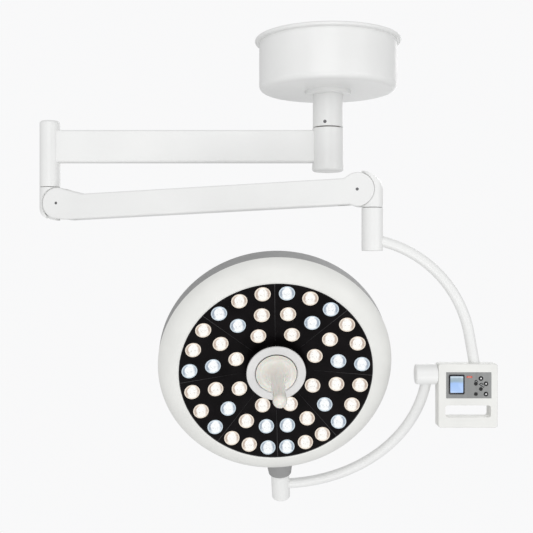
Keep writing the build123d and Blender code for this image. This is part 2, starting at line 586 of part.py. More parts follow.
def upper_yoke_pieces():
    stub = rod(STUB_R, STUB_BOTTOM, STUB_TOP)
    stub = fillet(stub.edges().group_by(Axis.Z)[0], 2)
    stub += rod(WRIST_SHAFT_R, STUB_TOP, WRIST_BUSH_TOP)
    tube = pipe(upper_yoke_path()) - rod(STUB_R, STUB_BOTTOM - 1, STUB_TOP)

    front, rear = control_box_shells()
    axle_z = -TILT_DROP - BOX_TOP
    axle = rod_x(TILT_SHAFT_R, -TILT_LENGTH + TILT_END_WALL + 3, 12, z=axle_z)
    axle += rod_x(13, BOX_WALL, BOX_WALL + 5, z=axle_z)

    pieces = {
        "wrist_stub": YOKE_FRAME * stub,
        "upper_yoke_tube": YOKE_FRAME * tube,
        "control_box_front": BOX_FRAME * front,
        "control_box_rear": BOX_FRAME * rear,
        "tilt_axle": BOX_FRAME * axle,
    }
    pieces.update({name: BOX_FRAME * piece for name, piece in display_pieces().items()})
    pieces.update({name: BOX_FRAME * button(*place) for name, place in BUTTONS.items()})
    return pieces


# ---------------------------------------------------------------- lower yoke
def lower_yoke_path():
    """Centre line of the lower tube: a quarter circle from the tilt joint to the swivel stub."""
    end = (SWIVEL_FRAME * Pos(0, 0, -SWIVEL_DROP)).position
    back, down = end.Y - WRIST_AT.Y, TILT_Z - end.Z
    lean = degrees(atan2(back, down))
    start_x = BOX_X - LOWER_TUBE_FROM_BOX
    bend_r = start_x - end.X
    straight = hypot(back, down) - bend_r
    bend = CenterArc((0, -straight), bend_r, 0, -90)
    return Pos(end.X, WRIST_AT.Y, TILT_Z) * Rot(lean, 0, 0) * (Plane.XZ * Wire([bend]))


def lower_yoke_pieces():
    right = BOX_X - TILT_GAP
    left = right - TILT_LENGTH
    body = rod_x(TILT_R, left, right, WRIST_AT.Y, TILT_Z)
    body = fillet(body.edges().group_by(Axis.X)[0], 4)
    hull = body
    body -= rod_x(TILT_BUSH_R, left + TILT_END_WALL, right + 1, WRIST_AT.Y, TILT_Z)
    bush = rod_x(TILT_BUSH_R - 0.02, left + TILT_END_WALL + 2, right, WRIST_AT.Y, TILT_Z)
    bush -= rod_x(TILT_SHAFT_R + RUN, left - 1, right + 1, WRIST_AT.Y, TILT_Z)

    stub = rod(SWIVEL_R, SWIVEL_BOTTOM, SWIVEL_TOP)
    stub = fillet(stub.edges().group_by(Axis.Z)[0], 4)
    stub -= rod(SWIVEL_SHAFT_R + RUN, SWIVEL_SHAFT_END - 3, SWIVEL_TOP + 1)
    filled_stub = SWIVEL_FRAME * rod(SWIVEL_R, SWIVEL_BOTTOM, SWIVEL_TOP)
    tube = pipe(lower_yoke_path()) - hull - filled_stub
    return {
        "tilt_knuckle": body,
        "tilt_bush": bush,
        "lower_yoke_tube": max(tube.solids(), key=lambda piece: piece.volume),
        "swivel_stub": SWIVEL_FRAME * stub,
    }


# ---------------------------------------------------------------- lamp head
def bezel_edges():
    """Outer line of the front bezel, from the side band to the panel."""
    return ThreePointArc((HEAD_R, BAND_FRONT), (236, -38), (PANEL_R + 4, PANEL_FRONT - 3))


def front_bezel():
    inner = PANEL_R + 0.5
    return turned(
        bezel_edges(),
        Line((PANEL_R + 4, PANEL_FRONT - 3), (inner, PANEL_FRONT - 1.5)),
        Line((inner, PANEL_FRONT - 1.5), (inner, PANEL_FRONT + 6)),
        ThreePointArc((inner, PANEL_FRONT + 6), (231, -34), (HEAD_R - HEAD_WALL, BAND_FRONT)),
        Line((HEAD_R - HEAD_WALL, BAND_FRONT), (HEAD_R, BAND_FRONT)),
    )


def rear_shell():
    """Back cover: a shallow dome with a raised round boss in the middle."""
    outer_r, inner_r = HEAD_R - 0.5, HEAD_R - HEAD_WALL
    rim, rim_y, boss, boss_y, top = REAR_RIM, REAR_RIM_Y, REAR_BOSS, REAR_BOSS_Y, REAR_TOP_Y
    return turned(
        ThreePointArc((outer_r, BAND_BACK), (rim + 31, rim_y - 12), (rim, rim_y)),
        Line((rim, rim_y), (boss, boss_y)),
        ThreePointArc((boss, boss_y), (boss - 5, boss_y + 2), (boss - 8, top - 5)),
        Line((boss - 8, top - 5), (boss - 14, top)),
        Line((boss - 14, top), (0, top)),
        Line((0, top), (0, top - HEAD_WALL)),
        Line((0, top - HEAD_WALL), (boss - 15, top - HEAD_WALL)),
        Line((boss - 15, top - HEAD_WALL), (boss - 8, boss_y - 2)),
        Line((boss - 8, boss_y - 2), (rim - 1, rim_y - HEAD_WALL)),
        ThreePointArc((rim - 1, rim_y - HEAD_WALL), (rim + 28, rim_y - 14), (inner_r, BAND_BACK)),
        Line((inner_r, BAND_BACK), (outer_r, BAND_BACK)),
    )


def cone_ring(inner, outer, depth, thickness):
    """Outline of a plate that lies behind the dished panel front, by depth."""
    return Polyline(
        (inner, dish_y(inner) + depth),
        (outer, dish_y(outer) + depth),
        (outer, dish_y(outer) + depth + thickness),
        (inner, dish_y(inner) + depth + thickness),
        close=True,
    )


def sectors():
    """Start angle and width of each sector, counted from +X towards +Z."""
    wide = (360 - 2 * NARROW) / WIDE_COUNT
    widths = [NARROW] + [wide] * WIDE_COUNT + [NARROW]
    starts = [FIRST_SEAM + sum(widths[:i]) for i in range(len(widths))]
    return list(zip(starts, widths))


def sector_plates(outline, seam):
    """One turned plate for each sector, with a radial seam between neighbours."""
    plates = []
    for start, width in sectors():
        plate = revolve(make_face(outline), Axis.Y, width - seam)
        plates.append(Rot(0, seam / 2 - start - width, 0) * plate)
    return plates


def panel_outline():
    """A dished plate with an upstand that carries the hub ring."""
    lip = PANEL_LIP_R + PANEL_LIP_T
    return Polyline(
        (PANEL_LIP_R, HUB_SEAT + 0.1),
        (lip, HUB_SEAT + 0.1),
        (lip, dish_y(lip)),
        (PANEL_R, dish_y(PANEL_R)),
        (PANEL_R, dish_y(PANEL_R) + PANEL_THICK),
        (PANEL_LIP_R, dish_y(PANEL_LIP_R) + PANEL_THICK),
        close=True,
    )


def led_places():
    """Angle and radius of each lens, its place in its sector's row, the row's length, and the sector."""
    places = []
    for radius, count in LED_RINGS.items():
        for sector, (start, width) in enumerate(sectors()):
            for i in range(count):
                places.append((start + (i + 0.5) * width / count, radius, i, count, sector))
    return places


def is_cool(angle, radius, i, count, sector):
    """Whether a lens belongs to the cool-white group: one edge of each sector's two outer rows."""
    if count == 1:
        return False
    right_half = sector in COOL_FIRST
    cool_end = 0 if right_half else count - 1
    top_extra = count == 3 and sector == TOP_RIGHT and i == count - 1
    return i == cool_end or top_extra


def lens_place(angle, radius):
    """Frame of a lens: its Z axis points out of the dished panel."""
    return Rot(0, -angle, 0) * Pos(radius, dish_y(radius), 0) * Rot(90, 0, 0) * Rot(0, -DISH_ANGLE, 0)


def lens():
    """A plano-convex lens with a cylindrical skirt, on its own Z axis."""
    skirt = rod(LENS_R, -LENS_DEPTH, 0.5)
    ball_r = (LENS_R**2 + LENS_DOME**2) / (2 * LENS_DOME)
    dome = Pos(0, 0, 0.5 + LENS_DOME - ball_r) * Sphere(ball_r) & rod(LENS_R, 0.5, 0.5 + LENS_DOME)
    return skirt + dome


def lamp_head_pieces():
    panels = sector_plates(panel_outline(), SECTOR_SEAM)
    holes = [lens_place(p[0], p[1]) * rod(LENS_R + 0.2, -10, 10) for p in led_places()]
    panels = [panel - holes for panel in panels]
    warm = [lens_place(p[0], p[1]) * lens() for p in led_places() if not is_cool(*p)]
    cool = [lens_place(p[0], p[1]) * lens() for p in led_places() if is_cool(*p)]
    boards = sector_plates(cone_ring(HUB_RING_R + 4, PANEL_R - 3, BOARD_DEPTH, BOARD_T), 2)

    sink = turned(*cone_ring(CORE_BASE_R, PANEL_R - 5, SINK_DEPTH, SINK_T).edges())
    root_depth = SINK_DEPTH + SINK_T / 2
    fin_side = make_face(
        Polyline(
            (FIN_IN, dish_y(FIN_IN) + root_depth),
            (FIN_OUT, dish_y(FIN_OUT) + root_depth),
            (FIN_OUT, FIN_BACK),
            (FIN_IN, FIN_BACK),
            close=True,
        )
    )
    fin = extrude(fin_side, SINK_FIN_T / 2, both=True)
    sink += [Rot(0, 360 * i / SINK_FINS, 0) * fin for i in range(SINK_FINS)]

    edge, side_end = HUB_RING_R - 0.6, (HUB_RING_R, HUB_SEAT - 2)
    hub_ring = turned(
        ThreePointArc(side_end, (edge, HUB_FACE + 0.6), (HUB_RING_R - 2, HUB_FACE)),
        Line((HUB_RING_R - 2, HUB_FACE), (HUB_RING_BORE + 2, HUB_FACE)),
        Line((HUB_RING_BORE + 2, HUB_FACE), (HUB_RING_BORE, HUB_FACE + 2)),
        Line((HUB_RING_BORE, HUB_FACE + 2), (HUB_RING_BORE, HUB_BACK)),
        Line((HUB_RING_BORE, HUB_BACK), (PANEL_LIP_R - 0.2, HUB_BACK)),
        Line((PANEL_LIP_R - 0.2, HUB_BACK), (PANEL_LIP_R - 0.2, HUB_SEAT)),
        Line((PANEL_LIP_R - 0.2, HUB_SEAT), (HUB_RING_R, HUB_SEAT)),
        Line((HUB_RING_R, HUB_SEAT), side_end),
    )
    core = rod_y(CORE_BASE_R, CORE_FRONT, CORE_BACK) + rod_y(CORE_R, CORE_END, CORE_FRONT + 1)

    whole = turned(
        bezel_edges(),
        Line((PANEL_R + 4, PANEL_FRONT - 3), (0, PANEL_FRONT - 3)),
        Line((0, PANEL_FRONT - 3), (0, REAR_BOSS_Y)),
        Line((0, REAR_BOSS_Y), (REAR_RIM, REAR_RIM_Y)),
        ThreePointArc((REAR_RIM, REAR_RIM_Y), (REAR_RIM + 31, REAR_RIM_Y - 12), (HEAD_R, BAND_BACK)),
        Line((HEAD_R, BAND_BACK), (HEAD_R, BAND_FRONT)),
    )
    boss = Pos(0, 0, BOSS_END) * Cone(BOSS_END_R, BOSS_TOP_R, BOSS_TOP - BOSS_END, align=UP)
    boss = boss - whole
    boss = max(boss.solids(), key=lambda piece: piece.volume)
    boss += rod(SWIVEL_SHAFT_R, SWIVEL_SHAFT_END, BOSS_END)

    pieces = {
        "rear_shell": rear_shell(),
        "side_band": turned_points(
            (HEAD_R - HEAD_WALL, BAND_FRONT),
            (HEAD_R, BAND_FRONT),
            (HEAD_R, BAND_BACK),
            (HEAD_R - HEAD_WALL, BAND_BACK),
        ),
        "front_bezel": front_bezel(),
        "lens_panels": panels,
        "lenses_warm": warm,
        "lenses_cool": cool,
        "led_boards": boards,
        "heat_sink": sink,
        "hub_ring": hub_ring,
        "handle_core": core,
        "head_boss": boss,
    }
    return {name: placed(HEAD_FRAME, piece) for name, piece in pieces.items()}


# ---------------------------------------------------------------- handle
def handle_pieces():
    rim_y = CORE_FRONT - GAP
    collar = rod_y(SLEEVE_R, SLEEVE_END, rim_y) + rod_y(SLEEVE_RIM_R, SLEEVE_RIM_Y, rim_y)
    collar -= rod_y(CORE_R + RUN, CORE_END - 1, 0)

    bore = SLEEVE_R + 0.1
    bore_end = SLEEVE_END - 6
    tip = GRIP_BALL_Y - GRIP_END_R
    half = GRIP_END_R * cos(radians(45))
    flare = (GRIP_FLARE_R, GRIP_FLARE_Y)
    flare_back = (GRIP_FLARE_R, GRIP_FLARE_Y + 3)
    seat = (bore, SLEEVE_RIM_Y - GAP)
    grip = turned(
        ThreePointArc((0, tip), (half, GRIP_BALL_Y - half), (GRIP_END_R, GRIP_BALL_Y)),
        Line((GRIP_END_R, GRIP_BALL_Y), (GRIP_END_R - 0.5, GRIP_BALL_Y + 20)),
        Line((GRIP_END_R - 0.5, GRIP_BALL_Y + 20), (GRIP_BASE_R, GRIP_FLARE_Y - 13)),
        ThreePointArc((GRIP_BASE_R, GRIP_FLARE_Y - 13), (GRIP_BASE_R + 4, GRIP_FLARE_Y - 4), flare),
        Line(flare, (GRIP_DISH_R - 1, GRIP_RIM_Y)),
        Line((GRIP_DISH_R - 1, GRIP_RIM_Y), (GRIP_DISH_R, GRIP_RIM_Y + 2)),
        Line((GRIP_DISH_R, GRIP_RIM_Y + 2), flare_back),
        Line(flare_back, seat),
        Line(seat, (bore, bore_end)),
        Line((bore, bore_end), (0, bore_end)),
        Line((0, bore_end), (0, tip)),
    )
    pieces = {"focus_collar": collar, "sterile_handle": grip}
    return {name: placed(HEAD_FRAME, piece) for name, piece in pieces.items()}


# ---------------------------------------------------------------- export
def placed(frame, piece):
    """A piece, or each solid of a group, moved into a frame."""
    if isinstance(piece, list):
        return [frame * solid for solid in piece]
    return frame * piece


def all_pieces():
    pieces = {}
    for body in (
        ceiling_pieces,
        extension_pieces,
        elbow_pieces,
        spring_arm_pieces,
        link_pieces,
        wrist_pieces,
        upper_yoke_pieces,
        lower_yoke_pieces,
        lamp_head_pieces,
        handle_pieces,
    ):
        pieces.update(body())
    return pieces


os.makedirs("parts", exist_ok=True)
for name, piece in all_pieces().items():
    solids = piece if isinstance(piece, list) else [piece]
    solids = [solid for group in solids for solid in group.solids()]
    shape = solids[0] if len(solids) == 1 else Compound(children=solids)
    export_step(shape, f"parts/{name}.step")
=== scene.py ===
"""Looks of a ceiling-mounted operating light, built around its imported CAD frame.

Metres, in the CAD frame: +Z up into the ceiling, the operator on the -Y side.
The head has its own frame, taken from the swivel and focus joints: local -Y points out of the lens panel.
"""
import json
from math import asin, cos, pi, radians, sin, tan

import bmesh
import bpy
from mathutils import Matrix, Vector


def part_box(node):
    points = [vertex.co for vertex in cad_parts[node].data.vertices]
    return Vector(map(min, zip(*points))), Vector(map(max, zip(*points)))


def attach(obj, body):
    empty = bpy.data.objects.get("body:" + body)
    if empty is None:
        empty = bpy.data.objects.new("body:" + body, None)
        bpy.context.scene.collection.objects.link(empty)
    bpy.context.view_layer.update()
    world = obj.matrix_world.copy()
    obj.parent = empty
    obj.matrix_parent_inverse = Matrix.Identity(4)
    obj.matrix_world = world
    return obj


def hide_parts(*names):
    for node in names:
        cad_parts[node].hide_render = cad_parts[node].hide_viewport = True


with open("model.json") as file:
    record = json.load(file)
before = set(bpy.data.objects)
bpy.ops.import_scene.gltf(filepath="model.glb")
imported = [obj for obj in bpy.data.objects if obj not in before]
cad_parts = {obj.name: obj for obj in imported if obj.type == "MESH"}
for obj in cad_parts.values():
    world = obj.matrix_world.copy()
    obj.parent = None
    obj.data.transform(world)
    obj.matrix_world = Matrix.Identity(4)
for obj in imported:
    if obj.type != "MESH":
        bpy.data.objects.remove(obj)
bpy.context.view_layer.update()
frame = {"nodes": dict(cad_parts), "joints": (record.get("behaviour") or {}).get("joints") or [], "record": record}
NODES = frame["nodes"]
JOINTS = {joint["name"]: joint for joint in frame["joints"]}

# ---------------------------------------------------------------- driving dimensions
MM = 0.001
SHARP = radians(35)             # edges of the added pieces stay sharp above this angle

# lamp head
DISH = radians(8)               # how far the lens panel is dished
PANEL_R, PANEL_FRONT = 204.5 * MM, -48 * MM        # the panel's rim, and its depth along local Y
FIRST_SEAM, NARROW, WIDE = 268.5, 39.2, 46.933     # degrees, from local +X towards +Z
SEAM_FROM, SEAM_TO = 63 * MM, 204 * MM
COVER_SCREWS, COVER_SCREW_R, COVER_SCREW_Y = 8, 200 * MM, 54.8 * MM

# one lens; heights are above the panel's face
LENS_R, RIM_IN, RIM_TOP = 15.9 * MM, 14.5 * MM, 1.0 * MM
RIM_ROUND, RIM_FLANGE = 0.4 * MM, 0.6 * MM
CUP_R, CUP_Z = 9.4 * MM, -4.4 * MM
SKIRT, SKIRT_BEHIND = 4.5 * MM, 5 * MM             # of the rim, and of the CAD lens
DOME_H, DOME_LOW, DOME_INSET = 3.2 * MM, 0.7 * MM, 0.25 * MM
CHIP_SPREAD, CHIP_DROP, CHIP_SINK = 3.6 * MM, 2.4 * MM, 0.25 * MM
RING_STEPS, DOME_STEPS, CHIP_STEPS = 36, 28, 12    # facets round each
LENS_COLORS = {                 # rim, painted light on the bright side and painted shade on the shaded side of the cup, core
    "warm": ((0.93, 0.82, 0.70), (1.0, 0.97, 0.92), (0.52, 0.41, 0.34), (1.0, 0.985, 0.95)),
    "cool": ((0.66, 0.76, 0.84), (0.95, 0.98, 1.0), (0.32, 0.38, 0.46), (0.96, 0.985, 1.0)),
}

# spring arm
CHEEK_R = 36                    # mm, round ends of the arm
SEAL_IN, SEAL_OUT = 17.0, 21.6  # mm, where a dust seal starts and ends each side of the arm's middle
SEAL_GAP = 0.25                 # mm, between a seal and the cheek it runs round

# control box
TRIM_MARGIN, TRIM_CORNER, TRIM_PROUD = 2.4 * MM, 3.2 * MM, 0.9 * MM     # over the display module
GLASS_CORNER, GLASS_PROUD = 1.6 * MM, 1.05 * MM
GLASS_LESS = (4 * MM, 4.4 * MM)                    # how much narrower and lower than the module
DOTTED_KEYS = ("up", "right", "power")
DASHES = (                      # mm from the panel's left and top, width, height; lean in degrees
    (61.2, 17.6, 5.6, 1.9, 30),
    (65.0, 19.0, 3.0, 1.7, -50),
    (70.4, 24.4, 4.8, 2.0, 35),
    (75.2, 24.0, 4.4, 1.9, -40),
    (73.6, 28.4, 6.0, 1.8, -25),
    (78.4, 30.6, 3.2, 1.7, 50),
)
STATUS_LAMP = (48.5, 9.8)       # mm from the panel's left and top

# floor, light and camera
FLOOR_SIZE, FLOOR_AT = 9, (-0.25, 0, -1.55)
FADE_FROM, FADE_TO = 0.2, 1.35  # the floor turns clear between these distances
LIT_AT = (-0.2, 0, -0.55)
AREA_LIGHTS = {                 # place, diameter, watts
    "key": ((-0.5, -3.0, 0.9), 2.6, 23),
    "fill": ((2.3, -2.2, -0.4), 2.4, 14),
    "side_fill": ((-2.6, -1.6, -0.3), 2.4, 5),
    "low_fill": ((-0.2, -2.2, -2.2), 2.2, 18),
    "back": ((0.6, 2.4, 0.4), 2.2, 12),
}
CAMERA_AT, CAMERA_LENS = (-0.143, -2.099, -0.528), 60.79


# ---------------------------------------------------------------- frames
def head_frame():
    """Matrix from the head's own axes to the row frame."""
    outward = Vector(JOINTS["focus_turn"]["axis"]).normalized()
    upward = Vector(JOINTS["head_swivel"]["axis"]).normalized()
    y_axis = -outward
    x_axis = y_axis.cross(upward).normalized()
    matrix = Matrix((x_axis, y_axis, upward)).transposed().to_4x4()
    matrix.translation = Vector(JOINTS["head_swivel"]["pos_m"])
    return matrix


HEAD = head_frame()
HEAD_INV = HEAD.inverted()


def solids_of(node):
    """Corner points of each separate solid of a CAD node, as lists in the row frame."""
    bm = bmesh.new()
    bm.from_mesh(NODES[node].data)
    bmesh.ops.remove_doubles(bm, verts=bm.verts, dist=0.01 * MM)
    todo = set(bm.verts)
    groups = []
    while todo:
        front = [todo.pop()]
        points = []
        while front:
            vert = front.pop()
            points.append(vert.co.copy())
            for edge in vert.link_edges:
                other = edge.other_vert(vert)
                if other in todo:
                    todo.remove(other)
                    front.append(other)
        groups.append(points)
    bm.free()
    groups.sort(key=lambda points: tuple(round(v, 4) for v in sum(points, Vector()) / len(points)))
    return groups


# ---------------------------------------------------------------- mesh helpers
def finish_piece(name, bm, material, body):
    """Turns a bmesh into a shaded piece that rides on a body."""
    bmesh.ops.recalc_face_normals(bm, faces=bm.faces)
    mesh = bpy.data.meshes.new(name)
    bm.to_mesh(mesh)
    bm.free()
    mesh.shade_smooth()
    mesh.set_sharp_from_angle(angle=SHARP)
    piece = bpy.data.objects.new(name, mesh)
    bpy.context.scene.collection.objects.link(piece)
    mesh.materials.append(material)
    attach(piece, body)
    return piece


def in_metres(outline):
    """An outline given in millimetres."""
    return [(across * MM, along * MM) for across, along in outline]


def add_turned(bm, outline, place, steps=48, closed=True, shape=None, faces_of=0):
    """Adds a surface of revolution about local Z; outline is (radius, z) points, closed or open."""
    rings = []
    for r, z in outline:
        if r < 1e-7:
            rings.append([bm.verts.new(place @ Vector((0, 0, z)))])
            continue
        ring = []
        for i in range(steps):
            turn = 2 * pi * i / steps
            radius = r if shape is None else shape(r, z, turn)
            ring.append(bm.verts.new(place @ Vector((radius * cos(turn), radius * sin(turn), z))))
        rings.append(ring)
    pairs = list(zip(rings, rings[1:]))
    if closed:
        pairs.append((rings[-1], rings[0]))
    for a, b in pairs:
        if len(a) == 1 and len(b) == 1:
            continue
        for i in range(steps):
            j = (i + 1) % steps
            corners = [a[i % len(a)], a[j % len(a)], b[j % len(b)], b[i % len(b)]]
            face = bm.faces.new(list(dict.fromkeys(corners)))
            face.material_index = faces_of


def arc(centre, radius, start, end, steps=8):
    """Points on a circular arc, in degrees."""
    turns = [radians(start + (end - start) * i / steps) for i in range(steps + 1)]
    return [(centre[0] + radius * cos(t), centre[1] + radius * sin(t)) for t in turns]


def rounded_outline(width, height, corner, steps=6):
    """Outline of a rounded rectangle about its centre."""
    x, y = width / 2 - corner, height / 2 - corner
    points = []
    for cx, cy, start in ((x, y, 0), (-x, y, 90), (-x, -y, 180), (x, -y, 270)):
        points += arc((cx, cy), corner, start, start + 90, steps)
    return points


def add_skin(bm, rings):
    """Closes a row of equal rings of corners into one solid skin."""
    count = len(rings[0])
    bm.faces.new(rings[0])
    bm.faces.new(rings[-1])
    for a, b in zip(rings, rings[1:]):
        for i in range(count):
            j = (i + 1) % count
            bm.faces.new((a[i], a[j], b[j], b[i]))


def add_plate(bm, outline, depth, place, edge=0.0):
    """Adds a plate that goes back from z = 0: local Z points out of its front, whose edge is softened."""
    count = len(outline)
    cx = sum(p[0] for p in outline) / count
    cy = sum(p[1] for p in outline) / count
    size = max(abs(p[0] - cx) for p in outline)
    shrink = 1 - edge / size
    levels = [(1, -depth), (1, -edge)]
    if edge:
        levels += [((1 + shrink) / 2 + 0.2 * (1 - shrink), -0.3 * edge), (shrink, 0)]
    rings = []
    for scale, z in levels:
        ring = [Vector((cx + (x - cx) * scale, cy + (y - cy) * scale, z)) for x, y in outline]
        rings.append([bm.verts.new(place @ point) for point in ring])
    add_skin(bm, rings)


def facing(point, direction, up=Vector((0, 0, 1))):
    """A frame at a point whose Z axis points along a direction."""
    z_axis = Vector(direction).normalized()
    x_axis = up.cross(z_axis).normalized()
    y_axis = z_axis.cross(x_axis)
    matrix = Matrix((x_axis, y_axis, z_axis)).transposed().to_4x4()
    matrix.translation = point
    return matrix


# ---------------------------------------------------------------- materials
class Shader:
    """A Principled material that takes noise layers on colour, roughness and bump, and a glow."""

    def __init__(self, name, color, roughness, metallic=0.0, **values):
        self.material = bpy.data.materials.new(name)
        self.material.use_nodes = True
        tree = self.material.node_tree
        self.nodes, self.links = tree.nodes, tree.links
        self.bsdf = self.nodes["Principled BSDF"]
        self.bsdf.inputs["Base Color"].default_value = (*color, 1)
        self.bsdf.inputs["Roughness"].default_value = roughness
        self.bsdf.inputs["Metallic"].default_value = metallic
        for key, value in values.items():
            self.bsdf.inputs[key.replace("_", " ")].default_value = value
        self.place = self.nodes.new("ShaderNodeTexCoord").outputs["Object"]
        self.height = None

    def noise(self, scale, detail=3, stretch=None, distortion=0.0):
        source = self.place
        if stretch:
            mapping = self.nodes.new("ShaderNodeMapping")
            mapping.inputs["Scale"].default_value = stretch
            self.links.new(self.place, mapping.inputs["Vector"])
            source = mapping.outputs["Vector"]
        texture = self.nodes.new("ShaderNodeTexNoise")
        texture.inputs["Scale"].default_value = scale
        texture.inputs["Detail"].default_value = detail
        texture.inputs["Distortion"].default_value = distortion
        self.links.new(source, texture.inputs["Vector"])
        return texture.outputs["Fac"]

    def ramp(self, factor, stops):
        """A colour that follows a factor through (position, colour) stops."""
        node = self.nodes.new("ShaderNodeValToRGB")
        elements = node.color_ramp.elements
        for element, (position, color) in zip(elements, (stops[0], stops[-1])):
            element.position = position
            element.color = (*color, 1)
        for position, color in stops[1:-1]:
            elements.new(position).color = (*color, 1)
        self.links.new(factor, node.inputs["Fac"])
        return node.outputs["Color"]

    def times_plus(self, factor, times, plus):
        """A factor times a constant, plus another factor."""
        node = self.nodes.new("ShaderNodeMath")
        node.operation = "MULTIPLY_ADD"
        node.inputs[1].default_value = times
        self.links.new(factor, node.inputs[0])
        self.links.new(plus, node.inputs[2])
        return node.outputs["Value"]

    def axis_of(self, vector, axis):
        split = self.nodes.new("ShaderNodeSeparateXYZ")
        self.links.new(vector, split.inputs["Vector"])
        return split.outputs[axis]

    def vary_color(self, factor, dark, light):
        color = self.ramp(factor, [(0.3, dark), (0.7, light)])
        self.links.new(color, self.bsdf.inputs["Base Color"])

    def glow(self, color, strength):
        """Shines in a colour, without being sampled as a lamp."""
        self.links.new(color, self.bsdf.inputs["Emission Color"])
        self.bsdf.inputs["Emission Strength"].default_value = strength
        self.material.cycles.emission_sampling = "NONE"

    def vary_roughness(self, factor, low, high):
        spread = self.nodes.new("ShaderNodeMapRange")
        spread.inputs["From Min"].default_value = 0.25
        spread.inputs["From Max"].default_value = 0.75
        spread.inputs["To Min"].default_value = low
        spread.inputs["To Max"].default_value = high
        self.links.new(factor, spread.inputs["Value"])
        self.links.new(spread.outputs["Result"], self.bsdf.inputs["Roughness"])

    def bump(self, factor, distance, strength=1.0):
        node = self.nodes.new("ShaderNodeBump")
        node.inputs["Distance"].default_value = distance
        node.inputs["Strength"].default_value = strength
        self.links.new(factor, node.inputs["Height"])
        if self.height is not None:
            self.links.new(self.height, node.inputs["Normal"])
        self.height = node.outputs["Normal"]
        self.links.new(self.height, self.bsdf.inputs["Normal"])


def tint(color, factor):
    return tuple(min(1.0, c * factor) for c in color)


def powder_coat(name, color, roughness=0.33):
    """Sprayed and baked paint: fine orange peel, a trace of cloudiness and uneven gloss."""
    shader = Shader(name, color, roughness, Coat_Weight=0.25, Coat_Roughness=0.18, Specular_IOR_Level=0.45)
    shader.vary_color(shader.noise(9, 4), tint(color, 0.975), tint(color, 1.015))
    shader.vary_roughness(shader.noise(60, 3), roughness - 0.05, roughness + 0.07)
    shader.bump(shader.noise(620, 2), 0.03 * MM, 0.35)
    shader.bump(shader.noise(2600, 1), 0.008 * MM, 0.25)
    return shader.material


def moulded(name, color, roughness=0.42, grain=1400, depth=0.02, **values):
    """Injection-moulded plastic with a fine spark-eroded grain."""
    shader = Shader(name, color, roughness, **values)
    shader.vary_color(shader.noise(14, 3), tint(color, 0.965), tint(color, 1.025))
    shader.vary_roughness(shader.noise(90, 2), roughness - 0.06, roughness + 0.06)
    shader.bump(shader.noise(grain, 2), depth * MM, 0.4)
    return shader.material


def machined(name, color, roughness, stretch, metallic=1.0):
    """Turned or brushed metal: fine lines along one direction, and smudges."""
    shader = Shader(name, color, roughness, metallic)
    shader.vary_color(shader.noise(30, 4), tint(color, 0.86), tint(color, 1.06))
    lines = shader.noise(900, 2, stretch)
    shader.vary_roughness(lines, roughness - 0.1, roughness + 0.12)
    shader.bump(lines, 0.012 * MM, 0.5)
    return shader.material


def glossy_panel():
    """Smooth near-black moulding with a low sheen, uneven like faint swirls of polish."""
    color = (0.0044, 0.0036, 0.0040)
    shader = Shader("black_panel_gloss", color, 0.3, Specular_IOR_Level=0.045)
    shader.vary_color(shader.noise(24, 5), tint(color, 0.6), tint(color, 1.5))
    shader.vary_roughness(shader.noise(35, 6, distortion=0.6), 0.22, 0.42)
    shader.bump(shader.noise(240, 2), 0.012 * MM, 0.3)
    return shader.material


def lit(name, color, strength, roughness=0.3, speckle=700):
    """A lit surface whose glow is slightly uneven, as light through moulded optics is."""
    shader = Shader(name, tint(color, 0.05), roughness)
    shader.glow(shader.ramp(shader.noise(speckle, 2), [(0.25, tint(color, 0.72)), (0.75, color)]), strength)
    shader.vary_roughness(shader.noise(speckle / 2, 2), roughness - 0.05, roughness + 0.1)
    return shader.material


def lens_wall_painted_shade(name, bright, shade):
    """Lit wall of a lens cup with painted shade and painted light: dark tinted crescents of painted shade at its
    sides and top, painted light towards its lower edge.
    """
    shader = Shader(name, (0.03, 0.03, 0.03), 0.3, Specular_IOR_Level=0.25)
    normal = shader.nodes.new("ShaderNodeTexCoord").outputs["Normal"]
    # painted shade and light: the glow darkens where the wall faces sideways or downwards and brightens where it
    # faces up
    side = shader.nodes.new("ShaderNodeMath")
    side.operation = "ABSOLUTE"
    shader.links.new(shader.axis_of(normal, "X"), side.inputs[0])
    upper = shader.times_plus(shader.axis_of(normal, "Z"), -0.22, side.outputs["Value"])
    patchy = shader.times_plus(shader.noise(190, 2), 0.45, upper)
    shader.glow(shader.ramp(patchy, [(0.56, bright), (0.92, shade)]), 1.0)
    shader.bump(shader.noise(900, 1), 0.02 * MM, 0.3)
    return shader.material


def clear(name, color, roughness, transmission, ior=1.49, **values):
    """Clear or milky moulded plastic with faint flow marks."""
    shader = Shader(name, color, roughness, Transmission_Weight=transmission, IOR=ior, **values)
    shader.vary_color(shader.noise(40, 3), tint(color, 0.96), color)
    shader.vary_roughness(shader.noise(120, 3), max(0.0, roughness - 0.03), roughness + 0.05)
    shader.bump(shader.noise(160, 2), 0.02 * MM, 0.25)
    return shader.material


def circuit():
    """Green solder mask over copper runs."""
    shader = Shader("circuit_board", (0.03, 0.16, 0.07), 0.35, Coat_Weight=0.4)
    shader.vary_color(shader.noise(220, 1, (1, 9, 1)), (0.018, 0.1, 0.045), (0.05, 0.24, 0.1))
    shader.bump(shader.noise(300, 1, (1, 6, 1)), 0.03 * MM, 0.5)
    return shader.material


def brushed_membrane():
    """Grey membrane printed with a fine upright brushed pattern and faint broad bands."""
    color = (0.26, 0.265, 0.262)
    shader = Shader("keypad_membrane", color, 0.48)
    shader.vary_color(shader.noise(70, 2, (1, 1, 0.03)), tint(color, 0.86), tint(color, 1.1))
    shader.vary_roughness(shader.noise(1500, 2, (1, 1, 0.05)), 0.4, 0.56)
    shader.bump(shader.noise(2200, 2, (1, 1, 0.08)), 0.012 * MM, 0.4)
    return shader.material


